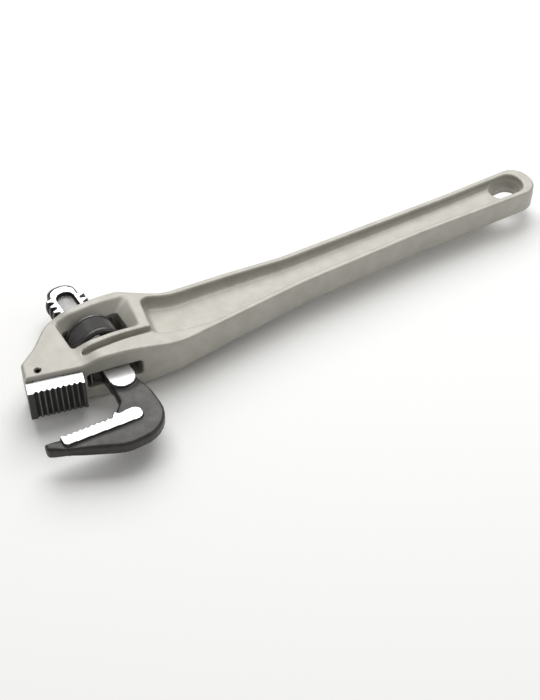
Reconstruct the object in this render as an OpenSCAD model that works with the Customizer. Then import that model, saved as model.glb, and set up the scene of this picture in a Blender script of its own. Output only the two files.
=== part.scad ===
// Pipe wrench with a light alloy handle, a pinned heel jaw and a threaded hook jaw.
// Millimetres. The wrench lies on its side: X runs along the handle, Y along the hook jaw's
// shank and Z through the thickness. Sections are drawn about the adjusting nut's centre,
// then the whole part is moved so that the origin is under the middle of its box.

/* [Head] */
// Thickness of the head across its two flat faces
head_thick = 29.8; // [28:0.2:32]
// Distance from the nut's centre to the head's far end
head_len = 48.5; // [47:0.1:50]
// Width of the nut window along the jaw's shank
window_w = 17.4; // [17.2:0.2:18.4]
// Clear height of the channel that the shank slides through
channel_h = 9.8; // [9.6:0.2:10.6]

/* [Handle] */
// Distance from the nut's centre to the handle's tail
tail_len = 299.2; // [280:1:320]
// Thickness of the flanges at the tail
tail_thick = 14.6; // [13:0.2:16]
// Thickness of the web between the flanges
web_thick = 6.4; // [5:0.2:8]
// Width of the flange that runs around the web
flange_w = 4; // [3:0.5:5]

/* [Jaws] */
// Opening between the jaws at the heel jaw's inner end
jaw_gap = 25; // [8:1:50]
// Thickness of the hook jaw
hook_thick = 9.2; // [8.4:0.2:9.2]
// Length of the hook jaw from its back to the shank's end
hook_len = 131; // [128:1:134]
// Width of the heel jaw's toothed face
heel_w = 19.2; // [18:0.2:20]
// Pitch of the heel jaw's teeth
heel_pitch = 2.95; // [2.5:0.05:3]
// Pitch of the hook jaw's teeth
hook_pitch = 3.15; // [2:0.05:3.3]

/* [Adjusting thread] */
// Pitch of the thread
thread_pitch = 4.75; // [4.5:0.25:5]
// Outer diameter of the thread on the shank
thread_d = 23.4; // [23:0.1:23.4]
// Core diameter of the thread on the shank
thread_core_d = 19.4; // [19:0.1:19.4]
// Outer diameter of the adjusting nut
nut_d = 29.6; // [29:0.2:29.6]
// Height of the adjusting nut
nut_h = 15; // [14:0.2:15]

/* [Hidden] */

// Sections: outline corners are [x, y, fillet radius] about the nut's centre.
head_half = head_thick / 2;
cheek_half = head_half - 2.5;
cheek_x = -19;
flat_x = -5;
tail_half = tail_thick / 2;
web_half = web_thick / 2;
neck_x = 48;
neck_half = 9.9;
shoulder_x = 2;
grip_x = 119;
grip_half = 8.7;
far = 60;
eps = 0.01;

// Heel jaw: its toothed face and its seat both slope.
heel_front = [[-50.7, -27.5], [-20.4, -34.5]];
heel_seat = [[-head_len, -18.7], [-18.4, -26]];
heel_slope = atan2(heel_front[1].y - heel_front[0].y, heel_front[1].x - heel_front[0].x);
heel_pin_at = [-39.4, -15.8];
heel_pin_r = 2;
heel_tang_x = [-44.2, -28.5];
heel_tang_y = -11;
heel_tooth_h = 1.4;
heel_teeth = 9;
heel_land = 3.2;
fit_gap = 0.1;

// Channel through the head: the spring sits on the heel side below the nut.
channel_low = [-16, 14.8];
channel_high = [-13, 14.9];
window_x = [-15.8, 18.6];
pocket_z = 7.5;
spring_y = -18;
spring_r = 2.6;
spring_wire_r = 0.4;
spring_bore_r = 3.2;
spring_x = [-21.6, -15];
leaf_x = [-13.7, -13];
leaf_y = [-25.5, -10.2];
leaf_w = 8;
rivet_r = 0.9;

// Hook jaw: drawn with its tooth line near y = -26.6, then slid along Y to the opening.
hook_line = [[-47.6, -25.8], [-17, -27.1]];
hook_tooth_h = 1.3;
hook_back_y = -48;
hook_end_y = hook_back_y + hook_len;
hook_half = hook_thick / 2;
hook_shift = heel_front[1].y - jaw_gap - hook_line[1].y;
hook_teeth = 9;
thread_start = 7.3;
thread_teeth = 14;
thread_r = thread_d / 2;
core_r = thread_core_d / 2;
crest_w = 1.6;
root_w = 2.9;
flank = (root_w - crest_w) / 2 / (thread_r - core_r);
recess_y = [8.5, 74.8];
recess_w = 10.2;
recess_depth = 2.6;
lead_angle = atan(thread_pitch / (PI * (thread_r + core_r)));

// Adjusting nut: its thread ridge meshes with the shank's teeth.
nut_bore_r = thread_r + 0.4;
ridge_r = core_r + 0.36;
ridge_crest = 1.3;
ridge_base = 2.2;
ridge_turns = 2.3;
ridge_steps = 36;

// The part's box: the hook's tip to the tail, the hook's back to the shank's end.
hook_tip_x = -56;
tip_rounding = 0.22;
box_mid = [(hook_tip_x + tip_rounding + tail_len) / 2, hook_shift + hook_back_y + hook_len / 2];

function unit(v) = v / norm(v);
function on_line(a, b, x) = a.y + (b.y - a.y) * (x - a.x) / (b.x - a.x);

// Points of a closed outline whose corners [x, y, r] are rounded with arcs of radius r.
function arc_points(a, b, c, steps) =
    let (u = unit([a.x - b.x, a.y - b.y]), v = unit([c.x - b.x, c.y - b.y]))
    let (half = acos(min(1, max(-1, u * v))) / 2, reach = b[2] / tan(half))
    let (start = [b.x, b.y] + u * reach, end = [b.x, b.y] + v * reach)
    let (mid = [b.x, b.y] + unit(u + v) * b[2] / sin(half))
    let (a0 = atan2(start.y - mid.y, start.x - mid.x), a1 = atan2(end.y - mid.y, end.x - mid.x))
    let (turn = (a1 - a0 + 540) % 360 - 180)
    [for (i = [0:steps]) mid + b[2] * [cos(a0 + turn * i / steps), sin(a0 + turn * i / steps)]];

function rounded(corners) =
    let (n = len(corners))
    [for (i = [0:n - 1], p = corners[i][2] < 0.05 ? [[corners[i].x, corners[i].y]]
        : arc_points(corners[(i + n - 1) % n], corners[i], corners[(i + 1) % n],
                     corners[i][2] > 15 ? 8 : 5)) p];

// Half thickness of the handle casting at a distance x from the nut's centre.
function half_at(x) =
    x < flat_x ? head_half - (head_half - cheek_half)
        * (1 - cos(180 * (flat_x - max(x, cheek_x)) / (flat_x - cheek_x))) / 2
    : x < shoulder_x ? head_half
    : x < neck_x ? neck_half + (head_half - neck_half)
        * (1 + cos(180 * (x - shoulder_x) / (neck_x - shoulder_x))) / 2
    : x < grip_x ? neck_half + (grip_half - neck_half) * (x - neck_x) / (grip_x - neck_x)
    : grip_half + (tail_half - grip_half) * (x - grip_x) / (tail_len - grip_x);

module place() {
    translate([-box_mid.x, -box_mid.y, head_half]) children();
}

module handle_outline() {
    polygon(rounded([
        [-head_len, heel_seat[0].y, 1], [heel_seat[1].x, heel_seat[1].y, 4],
        [-3, -28.2, 60], [36, -34.5, 60], [70, -31, 60], [122, -25.8, 150],
        [207, -23.4, 150], [286, -24.5, 12.8], [tail_len, -24.5, 12.8], [tail_len, 2.1, 11],
        [238, 0.8, 100], [122, 1.6, 100], [86, 5.2, 60], [48, 7.8, 24], [24, 20.2, 10],
        [-20, 17.8, 20], [-34.8, 1.4, 30], [-45.7, -6.8, 3]]));
}

module handle_side() {
    xs = [-far, for (i = [0:6]) cheek_x + (flat_x - cheek_x) * i / 6,
          for (i = [0:12]) shoulder_x + (neck_x - shoulder_x) * i / 12, grip_x, tail_len + 1];
    polygon(concat([for (x = xs) [x, half_at(x)]],
                   [for (i = [len(xs) - 1:-1:0]) [xs[i], -half_at(xs[i])]]));
}

module web_pocket() {
    polygon(rounded([
        [33.4, 10.2, 5], [27.4, -21, 3], [36, -24.2, 20], [62, -31.8 + flange_w, 50],
        [122, -25.6 + flange_w, 150], [207, -23.3 + flange_w, 150],
        [291.8, -24.4 + flange_w, 9], [291.8, 2 - flange_w, 7], [238, 0.9 - flange_w, 100],
        [122, 1.6 - flange_w, 100], [86, 5.1 - flange_w, 60], [50, 7.6 - flange_w, 24]]));
}

// Corner i of the thumb pocket's sloping wall: k is 0 at its foot and 1 at its rim.
function pocket_corner(i, k) =
    let (rim = [[-17.2, -10.8], [23.2, -12.3], [28, 12.2], [25, 14.4], [-13.8, 13], [-17.2, 10.2]][i])
    let (foot = [rim.x < 0 ? window_x[0] : window_x[1], sign(rim.y) * window_w / 2])
    concat(foot + (rim - foot) * k, pocket_z + (half_at(rim.x) - pocket_z) * k);

module thumb_pocket() {
    hull() for (i = [0:5], k = [0, 1.6]) translate(pocket_corner(i, k)) cube(eps);
}

// Slot with round corners running along Y between two X positions.
module channel(x, y) {
    r = 2;
    translate([0, y[1], 0]) rotate([90, 0, 0]) linear_extrude(y[1] - y[0])
        polygon(rounded([[x[0], -channel_h / 2, r], [x[1], -channel_h / 2, r],
                         [x[1], channel_h / 2, r], [x[0], channel_h / 2, r]]));
}

// Shallow groove beside the window, opening into the web's pocket.
module side_groove() {
    half_w = 2.3;
    translate([-14, -17.3, 10.4]) rotate([0, 2.8, 0]) linear_extrude(10)
        polygon(rounded([[0, -half_w, half_w - 0.1], [46, -half_w, 0],
                         [46, half_w, 0], [0, half_w, half_w - 0.1]]));
}

module hanging_slot() {
    polygon(rounded([[271, -17.6, 7], [290.4, -17.6, 7], [290.4, -3.2, 7], [271, -3.2, 7]]));
}

module handle() {
    color("gainsboro") place() difference() {
        intersection() {
            translate([0, 0, -far]) linear_extrude(2 * far) handle_outline();
            translate([0, far, 0]) rotate([90, 0, 0]) linear_extrude(2 * far) handle_side();
        }
        for (face = [0, 1]) mirror([0, 0, face]) {
            translate([0, 0, web_half]) linear_extrude(far) web_pocket();
            thumb_pocket();
            side_groove();
        }
        translate([window_x[0], -window_w / 2, -far])
            cube([window_x[1] - window_x[0], window_w, 2 * far]);
        channel(channel_low, [-far, 0]);
        channel(channel_high, [0, far]);
        translate([0, 0, -far]) linear_extrude(2 * far) hanging_slot();
        translate([heel_tang_x[0] - fit_gap, -far, -heel_w / 2 - fit_gap])
            cube([heel_tang_x[1] - heel_tang_x[0] + 2 * fit_gap,
                  far + heel_tang_y + fit_gap, heel_w + 2 * fit_gap]);
        heel_pin_hole();
        translate([spring_x[0], spring_y, 0]) rotate([0, 90, 0])
            cylinder(h = -spring_x[0], r = spring_bore_r, $fn = 48);
    }
}

module heel_pin_hole() {
    translate([heel_pin_at.x, heel_pin_at.y, -far]) cylinder(h = 2 * far, r = heel_pin_r, $fn = 48);
}

// Teeth are cut as grooves that run the whole width of the face.
module tooth_grooves(start, slope, pitch, depth, count) {
    translate(start) rotate(slope) for (i = [0:count - 1])
        translate([(i + 0.5) * pitch, 0])
            polygon([[-pitch * 0.44, -0.2], [0, depth], [pitch * 0.44, -0.2]]);
}

function heel_seat_at(x) = [x, on_line(heel_seat[0], heel_seat[1], x) - fit_gap];

module heel_jaw() {
    land = heel_land * [cos(heel_slope), sin(heel_slope)];
    color("dimgray") place() difference() {
        translate([0, 0, -heel_w / 2]) linear_extrude(heel_w) difference() {
            polygon([heel_front[0], heel_front[1], heel_seat_at(heel_front[1].x + 0.3),
                     heel_seat_at(heel_tang_x[1]), [heel_tang_x[1], heel_tang_y],
                     [heel_tang_x[0], heel_tang_y], heel_seat_at(heel_tang_x[0]),
                     heel_seat_at(-head_len)]);
            tooth_grooves(heel_front[0] + land, heel_slope, heel_pitch, heel_tooth_h, heel_teeth);
        }
        heel_pin_hole();
    }
}

// Rolled spring pin with its slit.
module heel_jaw_pin() {
    wall = 0.6;
    slit = 0.7;
    length = 2 * cheek_half - 1;
    color("darkslategray") place() translate([heel_pin_at.x, heel_pin_at.y, -length / 2]) difference() {
        cylinder(h = length, r = heel_pin_r - 0.02, $fn = 48);
        translate([0, 0, -1]) cylinder(h = length + 2, r = heel_pin_r - wall, $fn = 48);
        translate([0, -slit / 2, -1]) cube([heel_pin_r + 1, slit, length + 2]);
    }
}

module hook_outline() {
    tip_y = on_line(hook_line[0], hook_line[1], hook_tip_x + 0.6);
    root_y = on_line(hook_line[0], hook_line[1], -17.5);
    polygon(rounded([
        [7.6, thread_start + 2, 0], [7.6, -5, 30], [10, -18, 30], [10.2, hook_back_y, 19],
        [-19, hook_back_y, 20], [hook_tip_x, -30.2, 2.6], [hook_tip_x + 0.6, tip_y, 0.8],
        [-17.5, root_y, 1], [-9.2, -18.6, 4], [-7.4, -5, 30], [-7.5, thread_start + 2, 0]]));
}

// One trapezoid tooth of the thread, tilted by the lead angle on its side of the shank.
module thread_tooth(y, side) {
    foot = root_w / 2;
    top = foot - 3 * flank;
    translate([side * core_r, y, 0]) rotate([side * lead_angle, 0, 0])
        translate([0, 0, -hook_thick]) linear_extrude(2 * hook_thick)
            polygon([[-side * 4, -foot], [0, -foot], [side * 3, -top],
                     [side * 3, top], [0, foot], [-side * 4, foot]]);
}

module thread_slab(r, y0, y1) {
    intersection() {
        translate([0, y1, 0]) rotate([90, 0, 0]) cylinder(h = y1 - y0, r = r, $fn = 96);
        translate([-far, y0 - 1, -hook_half]) cube([2 * far, y1 - y0 + 2, hook_thick]);
    }
}

module hook_blade() {
    slope = atan2(hook_line[1].y - hook_line[0].y, hook_line[1].x - hook_line[0].x);
    translate([0, 0, -hook_half]) linear_extrude(hook_thick) difference() {
        hook_outline();
        tooth_grooves(hook_line[1], 180 + slope, hook_pitch, hook_tooth_h, hook_teeth);
    }
}

module shank_core() {
    corner = core_r - 0.8;
    intersection() {
        thread_slab(core_r, thread_start, hook_end_y);
        translate([0, 0, -far]) linear_extrude(2 * far)
            polygon(rounded([[-core_r, 0, 0], [core_r, 0, 0],
                             [core_r, hook_end_y, corner], [-core_r, hook_end_y, corner]]));
    }
}

// The two rows of teeth are half a pitch apart, as a thread's two sides are.
module shank_thread() {
    intersection() {
        thread_slab(thread_r, thread_start - 2, thread_start + thread_teeth * thread_pitch + 1);
        for (i = [0:thread_teeth - 1]) {
            thread_tooth(thread_start + i * thread_pitch, 1);
            thread_tooth(thread_start + (i + 0.5) * thread_pitch, -1);
        }
    }
}

module shank_recess() {
    half_w = recess_w / 2;
    round_r = half_w - 0.1;
    for (face = [0, 1]) mirror([0, 0, face])
        translate([0, 0, hook_half - recess_depth]) linear_extrude(far)
            polygon(rounded([
                [-half_w, recess_y[0], round_r], [half_w, recess_y[0], round_r],
                [half_w, recess_y[1], round_r], [-half_w, recess_y[1], round_r]]));
}

module hook_jaw() {
    color("dimgray") place() translate([0, hook_shift, 0]) difference() {
        union() {
            hook_blade();
            shank_core();
            shank_thread();
        }
        shank_recess();
    }
}

// Points of a closed strip swept along stations: sections[i] is a ring of points.
module swept(sections) {
    n = len(sections[0]);
    last = len(sections) - 1;
    sides = [for (i = [0:last - 1], j = [0:n - 1])
        let (a = i * n + j, b = i * n + (j + 1) % n, c = a + n, d = b + n)
        each [[a, b, d], [a, d, c]]];
    start = [for (j = [n - 1:-1:0]) j];
    end = [for (j = [0:n - 1]) last * n + j];
    polyhedron([for (ring = sections) each ring], concat(sides, [start, end]));
}

// Ridge of the nut's thread: it runs midway between the shank's teeth.
module nut_ridge() {
    phase = (thread_start + hook_shift) / thread_pitch + 0.5;
    lead_in = (phase - floor(phase + 0.5)) * 360;
    first = -lead_in - ridge_turns * 180;
    steps = ceil(ridge_turns * ridge_steps);
    profile = [[nut_bore_r + 0.5, -ridge_base / 2], [nut_bore_r + 0.5, ridge_base / 2],
               [ridge_r, ridge_crest / 2], [ridge_r, -ridge_crest / 2]];
    swept([for (k = [0:steps])
        let (turn = first + k * 360 / ridge_steps, y = (turn + lead_in) / 360 * thread_pitch)
        [for (p = profile) [p[0] * cos(turn), y + p[1], -p[0] * sin(turn)]]]);
}

module adjusting_nut() {
    r = nut_d / 2;
    top = nut_h / 2;
    chamfer = 1;
    rim = 2.2;
    groove = 0.7;
    color("dimgray") place() {
        rotate([-90, 0, 0]) rotate_extrude($fn = 96) polygon([
            [nut_bore_r + 0.6, -top], [r - chamfer, -top], [r, -top + chamfer], [r, -top + rim],
            [r - groove, -top + rim + groove], [r - groove, top - rim - groove], [r, top - rim],
            [r, top - chamfer], [r - chamfer, top], [nut_bore_r + 0.6, top],
            [nut_bore_r, top - 0.6], [nut_bore_r, -top + 0.6]]);
        nut_ridge();
    }
}

module coil_spring() {
    turns = 4;
    steps = 14;
    sides = 8;
    ends = [spring_x[0] + spring_wire_r, spring_x[1] - spring_wire_r];
    color("silver") place() swept([for (k = [0:turns * steps])
        let (a = k * 360 / steps, x = ends[0] + (ends[1] - ends[0]) * k / (turns * steps))
        [for (j = [0:sides - 1])
            let (b = -j * 360 / sides, r = spring_r + spring_wire_r * cos(b))
            [x + spring_wire_r * sin(b), spring_y + r * cos(a), r * sin(a)]]]);
}

module flat_spring() {
    lip = [-14.9, 0.7];
    color("silver") place() difference() {
        translate([0, 0, -leaf_w / 2]) linear_extrude(leaf_w) polygon([
            [leaf_x[1], leaf_y[0]], [leaf_x[1], leaf_y[1]], [lip[0], leaf_y[1]],
            [lip[0], leaf_y[1] - lip[1]], [leaf_x[0], leaf_y[1] - lip[1]], [leaf_x[0], leaf_y[0]]]);
        translate([leaf_x[0] - 1, spring_y, 0]) rotate([0, 90, 0]) cylinder(h = 3, r = rivet_r, $fn = 36);
    }
}

module spring_rivet() {
    head_r = 1.8;
    head_h = 0.18;
    tail_x = -15.1;
    color("gray") place() translate([0, spring_y, 0]) rotate([0, 90, 0]) {
        translate([0, 0, tail_x]) cylinder(h = leaf_x[1] - tail_x, r = rivet_r - 0.01, $fn = 36);
        translate([0, 0, leaf_x[1]]) cylinder(h = head_h, r = head_r, $fn = 36);
    }
}

handle();
heel_jaw();
heel_jaw_pin();
hook_jaw();
adjusting_nut();
coil_spring();
flat_spring();
spring_rivet();
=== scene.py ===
import math

import bpy
import numpy as np
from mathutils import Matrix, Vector


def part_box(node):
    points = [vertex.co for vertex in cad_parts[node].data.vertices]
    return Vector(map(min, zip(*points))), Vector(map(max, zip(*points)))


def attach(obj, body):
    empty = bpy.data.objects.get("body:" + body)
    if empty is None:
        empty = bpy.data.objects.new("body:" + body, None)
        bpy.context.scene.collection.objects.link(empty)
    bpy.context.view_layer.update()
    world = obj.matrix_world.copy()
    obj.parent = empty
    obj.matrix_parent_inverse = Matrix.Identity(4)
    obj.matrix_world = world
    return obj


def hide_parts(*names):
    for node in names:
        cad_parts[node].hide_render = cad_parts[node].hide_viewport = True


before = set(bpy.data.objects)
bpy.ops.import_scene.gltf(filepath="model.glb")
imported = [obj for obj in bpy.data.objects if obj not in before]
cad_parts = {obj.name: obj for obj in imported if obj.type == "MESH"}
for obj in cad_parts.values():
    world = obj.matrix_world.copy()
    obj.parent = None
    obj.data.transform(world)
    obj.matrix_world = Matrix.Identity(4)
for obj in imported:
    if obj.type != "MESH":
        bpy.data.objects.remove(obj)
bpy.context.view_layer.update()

mm = 0.001
nutLow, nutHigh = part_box("adjusting_nut")
nutCentre = (nutLow + nutHigh) / 2  # sections below are in millimetres about this point


def boxInMm(node):
    low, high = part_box(node)
    return (low - nutCentre) / mm, (high - nutCentre) / mm


# Shapes are distances to the metal's surface in millimetres, negative inside, so that each
# edge gets the radius that casting, forging or grinding leaves on it.

def roundCorners(corners, stepAngle=12):
    points = []
    for i, (x, y, radius) in enumerate(corners):
        here = np.array((x, y), float)
        if radius < 0.05:
            points.append(here)
            continue
        before = np.array(corners[i - 1][:2], float) - here
        after = np.array(corners[(i + 1) % len(corners)][:2], float) - here
        u, v = before / np.linalg.norm(before), after / np.linalg.norm(after)
        half = math.acos(max(-1, min(1, u @ v))) / 2
        middle = here + (u + v) / np.linalg.norm(u + v) * radius / math.sin(half)
        start = here + u * radius / math.tan(half) - middle
        end = here + v * radius / math.tan(half) - middle
        first = math.atan2(start[1], start[0])
        turn = (math.atan2(end[1], end[0]) - first + math.pi) % (2 * math.pi) - math.pi
        count = max(3, math.ceil(abs(math.degrees(turn)) / stepAngle))
        for k in range(count + 1):
            angle = first + turn * k / count
            points.append(middle + radius * np.array((math.cos(angle), math.sin(angle))))
    return np.array(points)


def outlineDistance(x, y, points):
    nearest = np.inf
    inside = False
    for (ax, ay), (bx, by) in zip(points, np.roll(points, -1, axis=0)):
        ex, ey = bx - ax, by - ay
        wx, wy = x - ax, y - ay
        along = np.clip((wx * ex + wy * ey) / (ex * ex + ey * ey + 1e-12), 0, 1)
        nearest = np.minimum(nearest, (wx - along * ex) ** 2 + (wy - along * ey) ** 2)
        if ey:
            inside = inside ^ (((ay > y) != (by > y)) & (wx < wy * ex / ey))
    return np.where(inside, -1, 1) * np.sqrt(nearest)


def roundMax(a, b, radius):  # what is inside both, with its edge rounded
    return (np.minimum(-radius, np.maximum(a, b))
            + np.hypot(np.maximum(a + radius, 0), np.maximum(b + radius, 0)))


def roundMin(a, b, radius):  # both together, with a fillet between them
    return (np.maximum(radius, np.minimum(a, b))
            - np.hypot(np.maximum(radius - a, 0), np.maximum(radius - b, 0)))


def carve(metal, hollow, radius):
    return roundMax(metal, -hollow, radius)


def gridLines(*stretches):  # (start, spacing) for each stretch, then (end, 0)
    lines = []
    for (start, spacing), (end, _) in zip(stretches, stretches[1:]):
        lines.extend(np.linspace(start, end, max(1, round((end - start) / spacing)), endpoint=False))
    return np.array(lines + [stretches[-1][0]])


def slopeOf(distance, points, reach=0.04):
    slope = np.zeros_like(points)
    for corner in ((1, -1, -1), (-1, -1, 1), (-1, 1, -1), (1, 1, 1)):
        slope += np.outer(distance(*(points + reach * np.array(corner)).T), corner)
    return slope / (4 * reach)


def surfaceNet(distance, lines):  # one point in each grid cell that the surface crosses
    field = distance(lines[0][:, None, None], lines[1][None, :, None], lines[2][None, None, :])
    solid = field < 0
    shape = [n - 1 for n in solid.shape]
    corners = [(i, j, k) for i in (0, 1) for j in (0, 1) for k in (0, 1)]
    filled = sum(solid[i:i + shape[0], j:j + shape[1], k:k + shape[2]].astype(int)
                 for i, j, k in corners)
    cells = np.argwhere((filled > 0) & (filled < 8))
    number = np.full(shape, -1)
    number[tuple(cells.T)] = np.arange(len(cells))
    total, count = np.zeros((len(cells), 3)), np.zeros(len(cells))
    for corner in corners:
        for axis in range(3):
            if corner[axis]:
                continue
            atA = cells + corner
            atB = atA + np.eye(3, dtype=int)[axis]
            valueA, valueB = field[tuple(atA.T)], field[tuple(atB.T)]
            crossed = (valueA < 0) != (valueB < 0)
            part = np.where(crossed, valueA / np.where(crossed, valueA - valueB, 1), 0)
            for n in range(3):
                placeA, placeB = lines[n][atA[:, n]], lines[n][atB[:, n]]
                total[:, n] += np.where(crossed, placeA + part * (placeB - placeA), 0)
            count += crossed
    faces = []
    for axis in range(3):
        u, v = (axis + 1) % 3, (axis + 2) % 3
        rolled = np.moveaxis(solid, axis, 0)
        found = np.argwhere(np.moveaxis(rolled[:-1] != rolled[1:], 0, axis))
        ring = []
        for du, dv in ((-1, -1), (0, -1), (0, 0), (-1, 0)):
            cell = found.copy()
            cell[:, u] += du
            cell[:, v] += dv
            ring.append(number[tuple(cell.T)])
        ring = np.array(ring).T
        faces.append(np.where(solid[tuple(found.T)][:, None], ring, ring[:, ::-1]))
    return total / count[:, None], np.concatenate(faces)


def edgeBend(points, normals, faces):  # bend of the surface per millimetre, positive on edges
    bend, count = np.zeros(len(points)), np.zeros(len(points))
    for i in range(4):
        a, b = faces[:, i], faces[:, (i + 1) % 4]
        across = points[a] - points[b]
        size = np.maximum((across ** 2).sum(axis=1), 1e-3)
        value = ((normals[a] - normals[b]) * across).sum(axis=1) / size
        for end in (a, b):
            bend += np.bincount(end, value, len(points))
            count += np.bincount(end, minlength=len(points))
    return np.clip(bend / np.maximum(count, 1), -1, 1)


def metalPiece(name, distance, lines, materials, finishOf=None):
    points, faces = surfaceNet(distance, lines)
    limit = min(np.diff(axisLines).min() for axisLines in lines) * 0.6
    for _ in range(2):  # draw the points onto the true surface
        slope = slopeOf(distance, points)
        size = np.maximum((slope ** 2).sum(axis=1), 0.05)
        away = np.clip(distance(*points.T) / size, -limit, limit)
        points -= slope * away[:, None]
    normals = slopeOf(distance, points)
    normals /= np.maximum(np.linalg.norm(normals, axis=1), 1e-6)[:, None]
    mesh = bpy.data.meshes.new(name)
    mesh.vertices.add(len(points))
    mesh.vertices.foreach_set("co", (points * mm + np.array(nutCentre)).ravel())
    mesh.loops.add(faces.size)
    mesh.loops.foreach_set("vertex_index", faces.ravel())
    mesh.polygons.add(len(faces))
    mesh.polygons.foreach_set("loop_start", np.arange(0, faces.size, 4))
    for material in materials:
        mesh.materials.append(material)
    if finishOf:
        middle = points[faces].mean(axis=1)
        facing = normals[faces].mean(axis=1)
        mesh.polygons.foreach_set("material_index", finishOf(*middle.T, *facing.T).astype(np.int32))
    mesh.update(calc_edges=True)
    bend = mesh.attributes.new("edgeBend", "FLOAT", "POINT")
    bend.data.foreach_set("value", edgeBend(points, normals, faces))
    mesh.polygons.foreach_set("use_smooth", np.ones(len(faces), bool))
    mesh.normals_split_custom_set_from_vertices(normals)
    piece = bpy.data.objects.new(name, mesh)
    bpy.context.collection.objects.link(piece)
    print(name, "has", 2 * len(faces), "triangles")
    return piece


# Finishes

def linearColour(hexColour, alpha=1):
    parts = [int(hexColour[i:i + 2], 16) / 255 for i in (1, 3, 5)]
    return [p / 12.92 if p <= 0.04045 else ((p + 0.055) / 1.055) ** 2.4 for p in parts] + [alpha]


def addNode(tree, kind, inputs=None, **settings):
    node = tree.nodes.new(kind)
    for name, value in settings.items():
        setattr(node, name, value)
    for name, value in (inputs or {}).items():
        if isinstance(value, bpy.types.NodeSocket):
            tree.links.new(value, node.inputs[name])
        else:
            node.inputs[name].default_value = value
    return node


def newMaterial(name, hexColour, metallic, roughness):
    material = bpy.data.materials.new(name)
    material.use_nodes = True
    shader = material.node_tree.nodes["Principled BSDF"]
    shader.inputs["Base Color"].default_value = linearColour(hexColour)
    shader.inputs["Metallic"].default_value = metallic
    shader.inputs["Roughness"].default_value = roughness
    return material, material.node_tree, shader


def makeCastAluminium(name, look):
    material, tree, shader = newMaterial(name, look["colour"], look["metallic"], look["roughness"])
    place = addNode(tree, "ShaderNodeTexCoord").outputs["Object"]
    clouds = addNode(tree, "ShaderNodeTexNoise", {
        "Vector": place, "Scale": 1 / look["cloudSize"], "Detail": 3.0}).outputs["Fac"]
    grain = addNode(tree, "ShaderNodeTexNoise", {
        "Vector": place, "Scale": 1 / look["grainSize"], "Detail": 2.0,
        "Roughness": 0.6}).outputs["Fac"]
    bend = addNode(tree, "ShaderNodeAttribute", attribute_name="edgeBend").outputs["Fac"]
    tone = addNode(tree, "ShaderNodeMix", {
        "Factor": addNode(tree, "ShaderNodeMapRange", {
            "Value": clouds, "From Min": 0.35, "From Max": 0.65}).outputs["Result"],
        "A": linearColour(look["colour"]), "B": linearColour(look["cloudColour"])}, data_type="RGBA")
    # Pale edges: convex edges, broken up by the grain, turn toward the pale colour. On the casting this
    # is partly wear and partly a painted highlight along the rims.
    rimWearAndHighlight = addNode(tree, "ShaderNodeMath", {
        0: bend, 1: grain}, operation="MULTIPLY").outputs[0]
    paleEdgeMix = addNode(tree, "ShaderNodeMapRange", {
        "Value": rimWearAndHighlight, "From Min": 0.18, "From Max": 0.42,
        "To Max": look["paleEdgeStrength"]}).outputs["Result"]
    light = addNode(tree, "ShaderNodeMix", {
        "Factor": paleEdgeMix, "A": tone.outputs["Result"], "B": linearColour(look["paleEdgeColour"])},
        data_type="RGBA")
    # Painted shade: hollows, where the surface bends inward, darken toward a dull olive. This is partly
    # dirt and partly painted shade in the creases.
    hollow = addNode(tree, "ShaderNodeMapRange", {
        "Value": bend, "From Min": -0.08, "From Max": -0.4,
        "To Max": look["hollowDirtAndShade"]}).outputs["Result"]
    colour = addNode(tree, "ShaderNodeMix", {
        "Factor": hollow, "A": light.outputs["Result"], "B": linearColour(look["dirtAndShadeColour"])},
        data_type="RGBA")
    gloss = addNode(tree, "ShaderNodeMapRange", {
        "Value": grain, "From Min": 0.3, "From Max": 0.7,
        "To Min": look["roughness"] - 0.07, "To Max": look["roughness"] + 0.08}).outputs["Result"]
    waves = addNode(tree, "ShaderNodeBump", {
        "Height": clouds, "Strength": 0.35, "Distance": look["waveHeight"]}).outputs["Normal"]
    bumps = addNode(tree, "ShaderNodeBump", {
        "Height": grain, "Strength": 0.8, "Distance": look["grainHeight"], "Normal": waves})
    tree.links.new(colour.outputs["Result"], shader.inputs["Base Color"])
    tree.links.new(gloss, shader.inputs["Roughness"])
    tree.links.new(bumps.outputs["Normal"], shader.inputs["Normal"])
    return material


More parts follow.
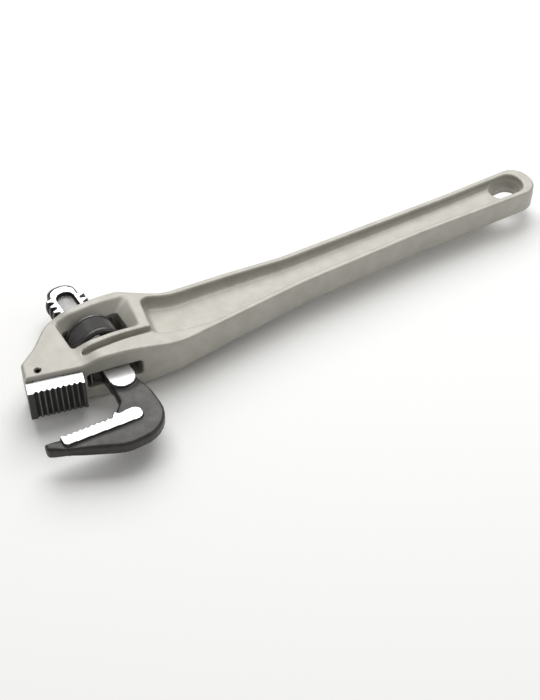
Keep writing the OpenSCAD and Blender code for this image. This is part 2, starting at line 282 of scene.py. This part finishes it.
def makeSteel(name, look):  # fine lines along one axis, blotches in the finish, pale worn edges
    material, tree, shader = newMaterial(name, look["colour"], look["metallic"], look["roughness"])
    place = addNode(tree, "ShaderNodeTexCoord").outputs["Object"]
    stretched = addNode(tree, "ShaderNodeMapping", {"Vector": place, "Scale": look["lineStretch"]})
    lines = addNode(tree, "ShaderNodeTexNoise", {
        "Vector": stretched.outputs["Vector"], "Scale": 1 / look["lineWidth"],
        "Detail": 2.0}).outputs["Fac"]
    blotches = addNode(tree, "ShaderNodeTexNoise", {
        "Vector": place, "Scale": 1 / look["blotchSize"], "Detail": 4.0}).outputs["Fac"]
    bend = addNode(tree, "ShaderNodeAttribute", attribute_name="edgeBend").outputs["Fac"]
    tone = addNode(tree, "ShaderNodeMix", {
        "Factor": addNode(tree, "ShaderNodeMapRange", {
            "Value": blotches, "From Min": 0.35, "From Max": 0.65}).outputs["Result"],
        "A": linearColour(look["colour"]), "B": linearColour(look["blotchColour"])}, data_type="RGBA")
    paleEdgeMix = addNode(tree, "ShaderNodeMapRange", {
        "Value": addNode(tree, "ShaderNodeMath", {0: bend, 1: blotches}, operation="MULTIPLY").outputs[0],
        "From Min": 0.22, "From Max": 0.5, "To Max": look["paleEdgeStrength"]}).outputs["Result"]
    colour = addNode(tree, "ShaderNodeMix", {
        "Factor": paleEdgeMix, "A": tone.outputs["Result"], "B": linearColour(look["paleEdgeColour"])},
        data_type="RGBA")
    gloss = addNode(tree, "ShaderNodeMapRange", {
        "Value": lines, "From Min": 0.3, "From Max": 0.7,
        "To Min": look["roughness"] - 0.06, "To Max": look["roughness"] + 0.08}).outputs["Result"]
    bumps = addNode(tree, "ShaderNodeBump", {
        "Height": lines, "Strength": 0.5, "Distance": look["lineDepth"]})
    tree.links.new(colour.outputs["Result"], shader.inputs["Base Color"])
    tree.links.new(gloss, shader.inputs["Roughness"])
    tree.links.new(bumps.outputs["Normal"], shader.inputs["Normal"])
    return material


castAluminium = makeCastAluminium("castAluminium", {  # sand cast, lacquered silver grey, satin sheen
    # the pale colour on the edges, and its strength, are partly wear and partly a painted highlight along
    # the casting's rims
    "colour": "#B3B1A9", "cloudColour": "#AAA89F", "paleEdgeColour": "#E0DFDA", "dirtAndShadeColour": "#77746A",
    "metallic": 0.25, "roughness": 0.46, "cloudSize": 9 * mm, "grainSize": 0.7 * mm,
    # the dark colour in the hollows is partly dirt and partly painted shade
    "waveHeight": 0.12 * mm, "grainHeight": 0.05 * mm, "paleEdgeStrength": 0.85, "hollowDirtAndShade": 0.55})
groundSteel = makeSteel("groundSteel", {  # bright from the surface grinder, with fine lines
    "colour": "#E4E4E6", "blotchColour": "#D6D6D9", "paleEdgeColour": "#F2F2F2", "metallic": 1.0,
    "roughness": 0.34, "lineStretch": (0.04, 1, 1), "lineWidth": 0.35 * mm, "blotchSize": 6 * mm,
    "lineDepth": 0.012 * mm, "paleEdgeStrength": 0.5})
blackSteel = makeSteel("blackPhosphateSteel", {  # forged, hardened and phosphated, oily grey sheen
    "colour": "#484746", "blotchColour": "#3C3B3B", "paleEdgeColour": "#9A9A9A", "metallic": 0.6,
    "roughness": 0.38, "lineStretch": (1, 1, 1), "lineWidth": 0.6 * mm, "blotchSize": 5 * mm,
    "lineDepth": 0.03 * mm, "paleEdgeStrength": 0.6})
turnedSteel = makeSteel("turnedBlackSteel", {  # turned on a lathe, then blackened
    "colour": "#4C4B4B", "blotchColour": "#414040", "paleEdgeColour": "#ABABAB", "metallic": 0.65,
    "roughness": 0.36, "lineStretch": (0.05, 1, 0.05), "lineWidth": 0.3 * mm, "blotchSize": 4 * mm,
    "lineDepth": 0.012 * mm, "paleEdgeStrength": 0.6})
brushedSteel = makeSteel("brushedRecessSteel", {  # milled recess, dulled but not blackened
    "colour": "#8E8D8C", "blotchColour": "#7F7E7D", "paleEdgeColour": "#B4B4B4", "metallic": 0.8,
    "roughness": 0.42, "lineStretch": (1, 0.05, 1), "lineWidth": 0.3 * mm, "blotchSize": 4 * mm,
    "lineDepth": 0.01 * mm, "paleEdgeStrength": 0.4})
springSteel = makeSteel("springSteel", {  # drawn and tempered, smooth with a straw-grey tint
    "colour": "#A9A6A0", "blotchColour": "#96938D", "paleEdgeColour": "#C8C8C8", "metallic": 1.0,
    "roughness": 0.3, "lineStretch": (1, 0.1, 1), "lineWidth": 0.3 * mm, "blotchSize": 3 * mm,
    "lineDepth": 0.006 * mm, "paleEdgeStrength": 0.4})
print("finishes made")


# Handle: I-section casting with a pocketed head

handle = {
    "outline": [
        (-48.5, -18.7, 1), (-18.4, -26, 4), (-3, -28.2, 60), (36, -34.5, 60),
        (70, -31, 60), (122, -25.8, 150), (207, -23.4, 150), (286, -24.5, 12.8),
        (299.2, -24.5, 12.8), (299.2, 2.1, 11), (238, 0.8, 100), (122, 1.6, 100),
        (86, 5.2, 60), (48, 7.8, 24), (24, 20.2, 10), (-20, 17.8, 20), (-34.8, 1.4, 30),
        (-45.7, -6.8, 3)],
    "webPocket": [
        (33.4, 10.2, 5), (27.4, -21, 3), (36, -24.2, 20), (62, -27.8, 50), (122, -21.6, 150),
        (207, -19.3, 150), (291.8, -20.4, 9), (291.8, -2, 7), (238, -3.1, 100),
        (122, -2.4, 100), (86, 1.1, 60), (50, 3.6, 24)],
    "webHalf": 3.2,
    "sideDraft": 0.02,
    "pocketDraft": 0.1,
    "windowFoot": 7.5,  # height above the middle plane where the thumb pocket starts to slope
    "channelHalf": 4.9,
    "pinAt": (-39.4, -15.8),
    "pinRadius": 2,
    "springY": -18,
    "springBore": 3.2,
    "channels": ((-0.6, 15.4, 1), (0.95, 13.95, -1)),  # middle, half width, side of the nut
    "channelCorner": 2,
    "groove": (-11.7, 34, -17.3, 2.3),  # start, end, place in Y and half width
    "grooveFloor": (10.4, -14, 0.0489),  # height where it starts, and fall per millimetre
    "hangingSlot": (280.7, -10.4, 9.7, 7.2, 6.9),  # middle, half sizes and corner
    "tangSlot": (-36.35, 7.95, 9.7, -10.9),  # middle, half width, half height and top
}
handleOutline = roundCorners(handle["outline"])
webOutline = roundCorners(handle["webPocket"])


def halfThickness(x):
    shoulder = (1 + np.cos(np.pi * np.clip((x - 2) / 46, 0, 1))) / 2
    cheek = (1 - np.cos(np.pi * np.clip((-5 - x) / 14, 0, 1))) / 2
    return np.interp(x, (48, 119, 299.2), (9.9, 8.7, 7.3)) + 5 * shoulder - 2.5 * cheek


def handleDistance(x, y, z):
    deep, half = np.abs(z), halfThickness(x)
    edge = np.interp(x, (-20, 60, 250), (1.7, 1.5, 1.2))
    drafted = outlineDistance(x, y, handleOutline) + handle["sideDraft"] * deep
    metal = roundMax(drafted, deep - half, edge)
    web = outlineDistance(x, y, webOutline) + handle["pocketDraft"] * (half - deep)
    floorFillet = np.interp(x, (30, 120, 290), (4.5, 3.4, 2.4))
    metal = carve(metal, roundMax(web, handle["webHalf"] - deep, floorFillet), 1.1)
    rise = np.clip((deep - handle["windowFoot"]) / (half - handle["windowFoot"]), 0, 1.5)
    ends = np.maximum((-15.8 - 1.4 * rise - x) / 1.03, (x - 18.6 - (7 + 0.196 * y) * rise) / 1.5)
    sides = np.maximum((-8.7 - (2.1 + 0.037 * (x + 17.2)) * rise - y) / 1.1,
                       (y - 8.7 - (4.3 + 0.036 * (x + 13.8)) * rise) / 1.25)
    metal = carve(metal, roundMax(ends, sides, 2.2), 0.9)
    floorHeight, floorStart, fall = handle["grooveFloor"]
    grooveFloor = floorHeight - fall * (x - floorStart)
    grooveStart, grooveEnd, grooveY, grooveHalf = handle["groove"]
    groove = np.hypot(x - np.clip(x, grooveStart, grooveEnd), y - grooveY) - grooveHalf
    metal = carve(metal, roundMax(groove, grooveFloor - deep, 1.5), 0.8)
    for middle, reach, side in handle["channels"]:  # the shank's channel, each side of the nut
        channel = roundMax(np.abs(x - middle) - reach, deep - handle["channelHalf"],
                           handle["channelCorner"])
        metal = carve(metal, np.maximum(channel, side * y), 1.1)
    slotX, slotY, slotReach, slotHalf, slotCorner = handle["hangingSlot"]
    slotHollow = roundMax(np.abs(x - slotX) - slotReach, np.abs(y - slotY) - slotHalf, slotCorner)
    metal = carve(metal, slotHollow, 1.4)
    tangX, tangReach, tangHalf, tangRoof = handle["tangSlot"]
    tang = roundMax(np.abs(x - tangX) - tangReach, deep - tangHalf, 0.5)
    metal = carve(metal, np.maximum(tang, y - tangRoof), 0.35)
    pinX, pinY = handle["pinAt"]
    metal = carve(metal, np.hypot(x - pinX, y - pinY) - handle["pinRadius"], 0.3)
    bore = roundMax(np.hypot(y - handle["springY"], z) - handle["springBore"], -21.6 - x, 0.4)
    return carve(metal, np.maximum(bore, x + 12), 0.4)


handlePiece = metalPiece("handleCasting", handleDistance, (
    gridLines((-51.3, 0.62), (36, 0.9), (62, 1.7), (262, 0.75), (300.4, 0)),
    gridLines((-35.8, 0.64), (21.5, 0)), gridLines((-15.9, 0.66), (15.9, 0))), [castAluminium])
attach(handlePiece, "head")
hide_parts("handle")


# Heel jaw: hardened block with straight teeth, pinned into the head

heelJaw = {
    "front": ((-50.7, -27.5), (-20.4, -34.5)),
    "seat": ((-48.5, -18.8), (-18.4, -26.1)),
    "tang": (-44.2, -28.5, -11),
    "halfWidth": 9.6,
    "teeth": 9,
    "pitch": 2.95,
    "depth": 1.4,
    "land": 3.2,
}


def toothGrooves(x, y, start, towards, pitch, depth, count):  # the metal is to the run's left
    run = np.array(towards) - np.array(start)
    run = run / np.linalg.norm(run)
    along = (x - start[0]) * run[0] + (y - start[1]) * run[1]
    deep = (y - start[1]) * run[0] - (x - start[0]) * run[1]
    across = np.abs(along - np.clip(np.floor(along / pitch), 0, count - 1) * pitch - pitch / 2)
    steep = depth / (0.46 * pitch)
    grooves = (deep - depth + across * steep) / math.hypot(1, steep)
    return np.maximum(grooves, np.maximum(-along, along - count * pitch))  # only along the run


def lineY(line, x):
    (ax, ay), (bx, by) = line
    return ay + (by - ay) * (x - ax) / (bx - ax)


tangStart, tangEnd, tangTop = heelJaw["tang"]
heelOutline = np.array([
    heelJaw["front"][0], heelJaw["front"][1], (-18.1, lineY(heelJaw["seat"], -18.1)),
    (tangEnd, lineY(heelJaw["seat"], tangEnd)), (tangEnd, tangTop), (tangStart, tangTop),
    (tangStart, lineY(heelJaw["seat"], tangStart)), heelJaw["seat"][0]])


def heelDistance(x, y, z):
    h = heelJaw
    metal = outlineDistance(x, y, heelOutline)
    slope = math.atan2(h["front"][1][1] - h["front"][0][1], h["front"][1][0] - h["front"][0][0])
    start = (h["front"][0][0] + h["land"] * math.cos(slope),
             h["front"][0][1] + h["land"] * math.sin(slope))
    grooves = toothGrooves(x, y, start, h["front"][1], h["pitch"], h["depth"], h["teeth"])
    metal = carve(metal, grooves, 0.18)
    metal = roundMax(metal, np.abs(z) - h["halfWidth"], 0.35)
    pinX, pinY = handle["pinAt"]
    return carve(metal, np.hypot(x - pinX, y - pinY) - handle["pinRadius"], 0.1)


heelPiece = metalPiece("heelJawTeeth", heelDistance, (
    gridLines((-51.4, 0.34), (-17.6, 0)), gridLines((-35.2, 0.34), (-10.4, 0)),
    gridLines((-10.1, 0.35), (10.1, 0))), [blackSteel, groundSteel],
    lambda x, y, z, nx, ny, nz: np.abs(nz) > 0.9)
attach(heelPiece, "head")
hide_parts("heel_jaw")


# Hook jaw: forged hook on a threaded shank

hookLow, hookHigh = boxInMm("hook_jaw")
hookJaw = {
    "outline": [
        (7.6, 12, 0), (7.6, -5, 30), (10, -18, 30), (10.2, -48, 19), (-19, -48, 20),
        (-56, -30.2, 2.6), (-55.4, -25.47, 0.8), (-17.5, -27.08, 1), (-9.2, -18.6, 4),
        (-7.4, -5, 30), (-7.5, 12, 0)],
    "toothLine": ((-17, -27.1), (-47.6, -25.8)),
    "teeth": 9,
    "pitch": 3.15,
    "depth": 1.3,
    "half": 4.6,
    "strip": [
        (-1.9, -26.2, 4), (-1.4, -35.4, 4), (-46.8, -33.1, 2.5), (-46.8, -20, 0),
        (-15.5, -20, 0), (-14, -26.5, 2)],
    "shankFace": (-10.8, 78.4, 7.5),  # start, end and half width of the ground face
    "coreRadius": 9.7,
    "threadRadius": 11.7,
    "threadStart": 7.3,
    "threadPitch": 4.75,
    "threadTeeth": 14,
    "crest": 1.6,
    "root": 2.9,
    "end": 83,
    "recess": (8.5, 74.8, 5.1, 2),  # start, end, half width and floor height
}
hookShift = hookLow[1] + 48  # the sections are drawn with the hook's back at -48
hookOutline = roundCorners(hookJaw["outline"])
hookStrip = roundCorners(hookJaw["strip"])


def hookDistance(x, y, z):
    h = hookJaw
    yy, deep = y - hookShift, np.abs(z)
    flat = outlineDistance(x, yy, hookOutline)
    strip = outlineDistance(x, yy, hookStrip)
    start, end, width = h["shankFace"]
    shank = np.hypot(x, yy - np.clip(yy, start + width, end)) - width
    nearest = np.minimum(strip, shank)
    crown = (4.3 - 1.1 * np.exp(np.minimum(flat, 0) / 4)
             - 0.8 * np.exp(-(np.maximum(nearest, 0) / 3) ** 2))
    metal = roundMax(flat, deep - crown, 1.6)
    raised = roundMax(np.maximum(nearest, flat), deep - h["half"], 0.3)
    metal = roundMin(metal, raised, 0.7)
    grooves = toothGrooves(x, yy, *h["toothLine"], h["pitch"], h["depth"], h["teeth"])
    metal = carve(metal, grooves, 0.12)
    around = np.hypot(x, z)
    ends = roundMax(np.abs(x) - h["coreRadius"], yy - h["end"], 8.9)
    core = roundMax(around - h["coreRadius"], deep - h["half"], 0.6)
    core = roundMax(core, h["threadStart"] - yy, 0.4)
    core = roundMax(core, ends, 3.4)
    turn = (yy - h["threadStart"]) / h["threadPitch"] - np.arctan2(-z, x) / (2 * np.pi)
    across = np.abs(turn - np.floor(turn + 0.5)) * h["threadPitch"]
    flank = (h["root"] - h["crest"]) / 2 / (h["threadRadius"] - h["coreRadius"])
    tooth = (across - h["root"] / 2 + (around - h["coreRadius"]) * flank) / math.hypot(1, flank)
    tooth = roundMax(roundMax(tooth, around - h["threadRadius"], 0.35), deep - h["half"], 0.3)
    first = np.where(x < 0, h["threadStart"], 5.0)
    tooth = np.maximum(tooth, np.maximum(first - yy, yy - first - h["threadTeeth"] * h["threadPitch"]))
    core = roundMin(core, np.maximum(tooth, h["coreRadius"] - 3 - around), 0.45)
    metal = roundMin(metal, core, 1.2)
    low, high, width, floor = h["recess"]
    recess = np.hypot(x, yy - np.clip(yy, low + width, high - width)) - width
    metal = carve(metal, roundMax(recess, floor - deep, 0.9), 0.35)
    return np.maximum(metal, deep - h["half"])


def hookFinish(x, y, z, nx, ny, nz):  # ground strip and shank faces, dull recess, black elsewhere
    yy, level = y - hookShift, np.abs(nz) > 0.93
    start, _, width = hookJaw["shankFace"]
    last = hookJaw["threadStart"] + hookJaw["threadTeeth"] * hookJaw["threadPitch"]
    face = np.hypot(x, yy - np.clip(yy, start + width, last - 1.8)) < width + 0.4
    face |= (yy > hookJaw["threadStart"] - 2) & (yy < last)  # the teeth are ground with the face
    face |= outlineDistance(x, yy, hookStrip) < 0.2
    ground = level & face & (np.abs(z) > hookJaw["half"] - 0.1)
    low, high, reach, floor = hookJaw["recess"]
    hollow = np.hypot(x, yy - np.clip(yy, low + reach, high - reach)) < reach - 0.3
    return np.where(ground, 1, np.where(level & hollow & (np.abs(z) < floor + 0.3), 2, 0))


hookPiece = metalPiece("hookJawForging", hookDistance, (
    gridLines((-56.4, 0.41), (12.3, 0)),
    gridLines((hookLow[1] - 0.6, 0.41), (hookHigh[1] + 0.6, 0)), gridLines((-5, 0.4), (5, 0))),
    [blackSteel, groundSteel, brushedSteel], hookFinish)
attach(hookPiece, "hook")
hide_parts("hook_jaw")


# Adjusting nut: turned ring with a thread ridge inside and a straight knurl outside

adjustingNut = {
    "radius": 14.8,
    "half": 7.5,
    "bore": 12.1,
    "ridge": 10.06,
    "rim": 2.2,
    "bandRadius": 14.1,
    "chamfer": 0.9,
    "pitch": 4.75,
    "ridgeCrest": 1.3,
    "ridgeBase": 2.2,
    "knurls": 110,
    "knurlHeight": 0.32,
}


def nutDistance(x, y, z):
    n = adjustingNut
    around, high = np.hypot(x, z), np.abs(y)
    body = roundMax(around - n["radius"], high - n["half"], 0.5)
    body = np.maximum(body, (around - n["radius"] + high - n["half"] + n["chamfer"]) / math.sqrt(2))
    band = roundMax(n["bandRadius"] - around, high - n["half"] + n["rim"], 0.35)
    body = carve(body, band, 0.25)
    body = carve(body, around - n["bore"], 0.5)
    phase = (hookJaw["threadStart"] + hookShift) / n["pitch"] + 0.5
    lead = phase - math.floor(phase + 0.5)
    turn = y / n["pitch"] - lead - np.arctan2(-z, x) / (2 * np.pi)
    across = np.abs(turn - np.floor(turn + 0.5)) * n["pitch"]
    steep = (n["ridgeBase"] - n["ridgeCrest"]) / 2 / (n["bore"] - n["ridge"])
    ridge = (across - n["ridgeCrest"] / 2 - (around - n["ridge"]) * steep) / math.hypot(1, steep)
    ridge = roundMax(roundMax(ridge, n["ridge"] - around, 0.3), high - n["half"] + 0.9, 0.5)
    return roundMin(body, np.maximum(ridge, around - n["bore"] - 0.5), 0.3)


nutPiece = metalPiece("adjustingNutRing", nutDistance, (
    gridLines((-15.3, 0.36), (15.3, 0)), gridLines((-7.9, 0.34), (7.9, 0)),
    gridLines((-15.3, 0.36), (15.3, 0))), [turnedSteel])
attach(nutPiece, "nut")
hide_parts("adjusting_nut")


def makeKnurlTree():
    tree = bpy.data.node_groups.new("knurlBand", "GeometryNodeTree")
    for name, kind in (("Ridges", "NodeSocketInt"), ("Radius", "NodeSocketFloat"),
                       ("Height", "NodeSocketFloat"), ("Length", "NodeSocketFloat"),
                       ("Material", "NodeSocketMaterial")):
        tree.interface.new_socket(name, in_out="INPUT", socket_type=kind)
    tree.interface.new_socket("Geometry", in_out="OUTPUT", socket_type="NodeSocketGeometry")
    given = addNode(tree, "NodeGroupInput").outputs
    circle = addNode(tree, "GeometryNodeMeshCircle", {
        "Vertices": given["Ridges"], "Radius": given["Radius"]})
    # the circle lies in XY; each ridge stands along Z until the whole band is turned onto Y
    half = addNode(tree, "ShaderNodeMath", {
        0: given["Length"], 1: 0.5}, operation="MULTIPLY").outputs[0]
    under = addNode(tree, "ShaderNodeMath", {0: half, 1: -1.0}, operation="MULTIPLY").outputs[0]
    top = addNode(tree, "ShaderNodeCombineXYZ", {"Z": half}).outputs[0]
    foot = addNode(tree, "ShaderNodeCombineXYZ", {"Z": under}).outputs[0]
    rod = addNode(tree, "GeometryNodeCurvePrimitiveLine", {"Start": foot, "End": top}).outputs[0]
    profile = addNode(tree, "GeometryNodeCurvePrimitiveCircle", {
        "Resolution": 6, "Radius": given["Height"]})
    ridge = addNode(tree, "GeometryNodeCurveToMesh", {
        "Curve": rod, "Profile Curve": profile.outputs["Curve"], "Fill Caps": True}).outputs[0]
    place = addNode(tree, "GeometryNodeInputPosition").outputs[0]
    facing = addNode(tree, "FunctionNodeAlignRotationToVector", {"Vector": place}, axis="X")
    band = addNode(tree, "GeometryNodeInstanceOnPoints", {
        "Points": circle.outputs["Mesh"], "Instance": ridge, "Rotation": facing.outputs[0]}).outputs[0]
    turned = addNode(tree, "GeometryNodeTransform", {
        "Geometry": band, "Rotation": (math.pi / 2, 0, 0), "Translation": tuple(nutCentre)}).outputs[0]
    real = addNode(tree, "GeometryNodeRealizeInstances", {"Geometry": turned}).outputs[0]
    painted = addNode(tree, "GeometryNodeSetMaterial", {
        "Geometry": real, "Material": given["Material"]}).outputs[0]
    addNode(tree, "NodeGroupOutput", {"Geometry": painted})
    return tree


def plainMesh(holder, name):  # the modifier's result as a mesh of its own
    shown = holder.evaluated_get(bpy.context.evaluated_depsgraph_get())
    mesh = bpy.data.meshes.new_from_object(shown)
    mesh.name = name
    bpy.data.objects.remove(holder)
    piece = bpy.data.objects.new(name, mesh)
    bpy.context.collection.objects.link(piece)
    return piece


knurlHolder = bpy.data.objects.new("knurlHolder", bpy.data.meshes.new("knurlHolder"))
bpy.context.collection.objects.link(knurlHolder)
knurlModifier = knurlHolder.modifiers.new("knurl", "NODES")
knurlModifier.node_group = makeKnurlTree()
knurlValues = {
    "Ridges": adjustingNut["knurls"], "Radius": (adjustingNut["bandRadius"] - 0.02) * mm,
    "Height": adjustingNut["knurlHeight"] * mm,
    "Length": 2 * (adjustingNut["half"] - adjustingNut["rim"] - 0.75) * mm, "Material": turnedSteel}
for item in knurlModifier.node_group.interface.items_tree:
    if item.in_out == "INPUT":
        knurlModifier[item.identifier] = knurlValues[item.name]
knurlPiece = plainMesh(knurlHolder, "nutKnurl")
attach(knurlPiece, "nut")
print("knurl band has", len(knurlPiece.data.polygons), "faces")


# Small CAD pieces keep their shape and get their finish

for nodeName, finish in (("heel_jaw_pin", blackSteel), ("coil_spring", springSteel),
                         ("flat_spring", springSteel), ("spring_rivet", turnedSteel)):
    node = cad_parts[nodeName]
    node.data.materials.clear()
    node.data.materials.append(finish)


# Floor, lights and camera

floorMaterial = newMaterial("paleFloor", "#FDFDFD", 0.0, 0.8)[0]
floorMesh = bpy.data.meshes.new("floor")
floorHalf = 4
floorMesh.from_pydata([(x, y, -0.0004) for x, y in (
    (-floorHalf, -floorHalf), (floorHalf, -floorHalf), (floorHalf, floorHalf), (-floorHalf, floorHalf))],
    [], [(0, 1, 2, 3)])
floorMesh.materials.append(floorMaterial)
floor = bpy.data.objects.new("floor", floorMesh)
bpy.context.collection.objects.link(floor)

world = bpy.data.worlds.new("softSky")
world.use_nodes = True
world.node_tree.nodes["Background"].inputs["Color"].default_value = linearColour("#F8F7F2")
world.node_tree.nodes["Background"].inputs["Strength"].default_value = 0.38
bpy.context.scene.world = world

for lightName, place, aim, size, power in (
        ("backSoftbox", (0.45, 0.85, 1.25), (0, 0, 0), 1.7, 28),
        ("sideFill", (1.3, -1.1, 0.8), (0, 0, 0), 1.0, 3)):
    light = bpy.data.lights.new(lightName, "AREA")
    light.shape = "SQUARE"
    light.size = size
    light.energy = power
    lamp = bpy.data.objects.new(lightName, light)
    lamp.location = place
    lamp.rotation_mode = "QUATERNION"
    lamp.rotation_quaternion = (Vector(place) - Vector(aim)).to_track_quat("Z", "Y")
    bpy.context.collection.objects.link(lamp)

viewpoint = {"azimuth": -30.98, "elevation": 44.51, "distance": 0.7068, "lens": 65.6,
             "target": (81, -55.5, 0.1)}  # millimetres from the nut
azimuth, elevation = math.radians(viewpoint["azimuth"]), math.radians(viewpoint["elevation"])
back = Vector((math.sin(azimuth) * math.cos(elevation), -math.cos(azimuth) * math.cos(elevation),
               math.sin(elevation)))
cameraData = bpy.data.cameras.new("camera")
cameraData.lens = viewpoint["lens"]
cameraData.clip_start = 0.02
camera = bpy.data.objects.new("camera", cameraData)
camera.location = Vector(nutCentre) + mm * Vector(viewpoint["target"]) + back * viewpoint["distance"]
camera.rotation_mode = "QUATERNION"
camera.rotation_quaternion = back.to_track_quat("Z", "Y")
bpy.context.collection.objects.link(camera)
bpy.context.scene.camera = camera
bpy.context.scene.view_settings.view_transform = "Standard"
print("stage set")
